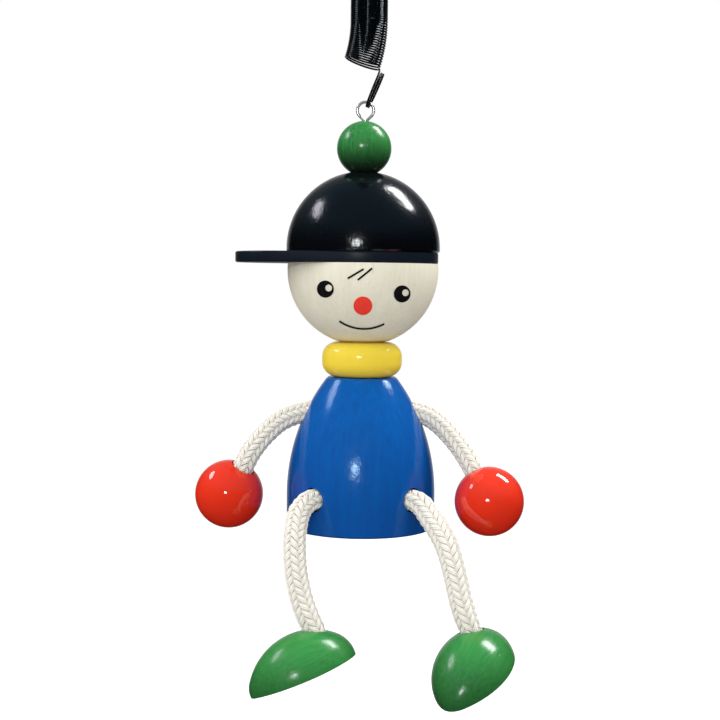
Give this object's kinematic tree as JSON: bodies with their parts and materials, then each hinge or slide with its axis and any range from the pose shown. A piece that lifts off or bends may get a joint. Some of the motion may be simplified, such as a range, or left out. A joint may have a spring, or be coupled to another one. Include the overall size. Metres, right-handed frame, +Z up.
{
  "type": "swinging figure toy",
  "caption": "Turned wooden figure with a peaked cap, rope limbs and ball hands, hung by a screw eye from a long close-wound wire spring with a loop at each end.",
  "frame": {"origin": "inside top of the spring's upper loop, where the toy hangs on its hook", "axes": "+Z up along the hanging toy, -Y the way the face looks, +X towards the figure's own left hand"},
  "size_m": [0.1077, 0.0814, 0.2848],
  "materials": {
    "spring_black": "gloss",
    "plain_steel": "satin",
    "green_stain": "gloss",
    "black_gloss": "gloss",
    "black_satin": "satin",
    "bare_wood": "satin",
    "black_ink": "satin",
    "red_ink": "satin",
    "yellow_gloss": "gloss",
    "blue_gloss": "gloss",
    "dowel_wood": "matte",
    "cotton_rope": "matte",
    "red_gloss": "gloss"
  },
  "bodies": {
    "hanger": {"spring_top_loop": "spring_black"},
    "spring": {"spring_coil": "spring_black"},
    "spring_end": {"spring_bottom_loop": "spring_black"},
    "figure": {"screw_eye": "plain_steel", "pompom_ball": "green_stain", "cap_dome": "black_gloss", "cap_brim": "black_satin", "head": "bare_wood", "left_eye_print": "black_ink", "right_eye_print": "black_ink", "nose_print": "red_ink", "mouth_print": "black_ink", "left_fringe_print": "black_ink", "right_fringe_print": "black_ink", "collar_ring": "yellow_gloss", "torso": "blue_gloss", "spine_dowel": "dowel_wood"},
    "left_arm": {"left_arm_rope": "cotton_rope"},
    "left_hand": {"left_hand": "red_gloss"},
    "right_arm": {"right_arm_rope": "cotton_rope"},
    "right_hand": {"right_hand": "red_gloss"},
    "left_leg": {"left_leg_rope": "cotton_rope"},
    "left_foot": {"left_foot": "green_stain"},
    "right_leg": {"right_leg_rope": "cotton_rope"},
    "right_foot": {"right_foot": "green_stain"}
  },
  "joints": [
    {"name": "spring_sway", "type": "hinge", "parent": "hanger", "child": "spring", "pos_m": [0, 0, -0.0115], "axis": [1, 0, 0], "range_deg": [-20, 20], "deforming": ["spring_coil"]},
    {"name": "spring_bounce", "type": "slide", "parent": "spring", "child": "spring_end", "axis": [0, 0, -1], "range_m": [0, 0.12], "stiffness_N_per_m": 10.9, "springref_m": -0.1165, "deforming": ["spring_coil"]},
    {"name": "eye_swing", "type": "hinge", "parent": "spring_end", "child": "figure", "pos_m": [0, 0, -0.09918], "axis": [0, 1, 0], "range_deg": [-30, 30]},
    {"name": "left_shoulder", "type": "hinge", "parent": "figure", "child": "left_arm", "pos_m": [0.01806, 0, -0.20037], "axis": [0, -1, 0], "range_deg": [-9, 50], "stiffness_Nm_per_rad": 0.005, "springref_deg": 9.16, "deforming": ["left_arm_rope"]},
    {"name": "left_wrist", "type": "hinge", "parent": "left_arm", "child": "left_hand", "pos_m": [0.03616, -0.0117, -0.21777], "axis": [0, -1, 0], "range_deg": [-20, 20], "stiffness_Nm_per_rad": 0.004, "springref_deg": 2.35, "deforming": ["left_arm_rope"]},
    {"name": "right_shoulder", "type": "hinge", "parent": "figure", "child": "right_arm", "pos_m": [-0.01936, 0, -0.20037], "axis": [0, 1, 0], "range_deg": [-7, 50], "stiffness_Nm_per_rad": 0.005, "springref_deg": 9.92, "deforming": ["right_arm_rope"]},
    {"name": "right_wrist", "type": "hinge", "parent": "right_arm", "child": "right_hand", "pos_m": [-0.03916, -0.0073, -0.21757], "axis": [0, 1, 0], "range_deg": [-20, 20], "stiffness_Nm_per_rad": 0.004, "springref_deg": 2.46, "deforming": ["right_arm_rope"]},
    {"name": "left_hip", "type": "hinge", "parent": "figure", "child": "left_leg", "pos_m": [0.01638, -0.01795, -0.22687], "axis": [-1, 0, 0], "range_deg": [-5, 60], "stiffness_Nm_per_rad": 0.006, "springref_deg": 7.95, "deforming": ["left_leg_rope"]},
    {"name": "left_ankle", "type": "hinge", "parent": "left_leg", "child": "left_foot", "pos_m": [0.03378, -0.0361, -0.26367], "axis": [-1, 0, 0], "range_deg": [-20, 20], "stiffness_Nm_per_rad": 0.004, "springref_deg": 2.47, "deforming": ["left_leg_rope"]},
    {"name": "right_hip", "type": "hinge", "parent": "figure", "child": "right_leg", "pos_m": [-0.01605, -0.01937, -0.22687], "axis": [-1, 0, 0], "range_deg": [-5, 60], "stiffness_Nm_per_rad": 0.006, "springref_deg": 6.92, "deforming": ["right_leg_rope"]},
    {"name": "right_ankle", "type": "hinge", "parent": "right_leg", "child": "right_foot", "pos_m": [-0.01476, -0.03637, -0.26407], "axis": [-1, 0, 0], "range_deg": [-20, 20], "stiffness_Nm_per_rad": 0.004, "springref_deg": 1.52, "deforming": ["right_leg_rope"]}
  ]
}
